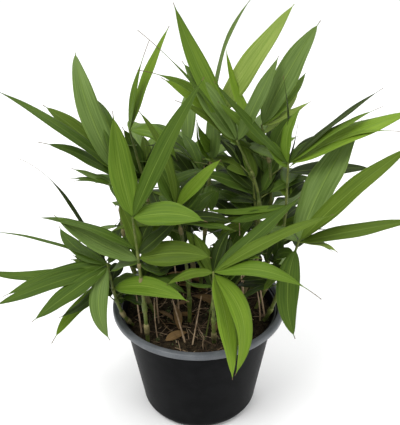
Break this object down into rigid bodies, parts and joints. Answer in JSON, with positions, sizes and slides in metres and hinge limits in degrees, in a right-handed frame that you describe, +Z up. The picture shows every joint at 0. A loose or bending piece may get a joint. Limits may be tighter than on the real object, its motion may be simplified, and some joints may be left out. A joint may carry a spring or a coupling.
{
  "type": "potted bamboo",
  "caption": "Young clump of broad-leaved bamboo shoots, standing in a round black plastic nursery pot of soil.",
  "frame": {"origin": "middle of the pot's flat underside", "axes": "+Z up, -Y towards the front, +X to the right as seen from the front"},
  "size_m": [0.6134, 0.42, 0.62],
  "materials": {
    "pot": "black moulded plastic with a soft sheen",
    "soil": "dark, crumbly potting soil with dry litter on it",
    "culm": "smooth olive-green to tan cane",
    "leaf": "thin green leaf with a soft sheen"
  },
  "bodies": {
    "root": {"pot": "pot", "soil": "soil", "culm_front_left": "culm", "culm_low_left": "culm", "culm_front_centre": "culm", "culm_right_low": "culm", "culm_right": "culm", "culm_top_centre": "culm", "culm_top_right": "culm", "culm_top_back": "culm", "culm_upper_left": "culm", "culm_mid_left": "culm", "culm_centre": "culm", "culm_centre_right": "culm", "culm_back_left": "culm", "culm_back_centre": "culm", "culm_back_right": "culm", "culm_side_right": "culm", "culm_side_left": "culm", "spray_front_left": "leaf", "spray_low_left": "leaf", "spray_front_centre": "leaf", "spray_right_low": "leaf", "spray_right": "leaf", "spray_top_centre": "leaf", "spray_top_right": "leaf", "spray_top_back": "leaf", "spray_upper_left": "leaf", "spray_mid_left": "leaf", "spray_centre": "leaf", "spray_centre_right": "leaf", "spray_back_left": "leaf", "spray_back_centre": "leaf", "spray_back_right": "leaf", "spray_side_right": "leaf", "spray_side_left": "leaf"}
  },
  "joints": []
}
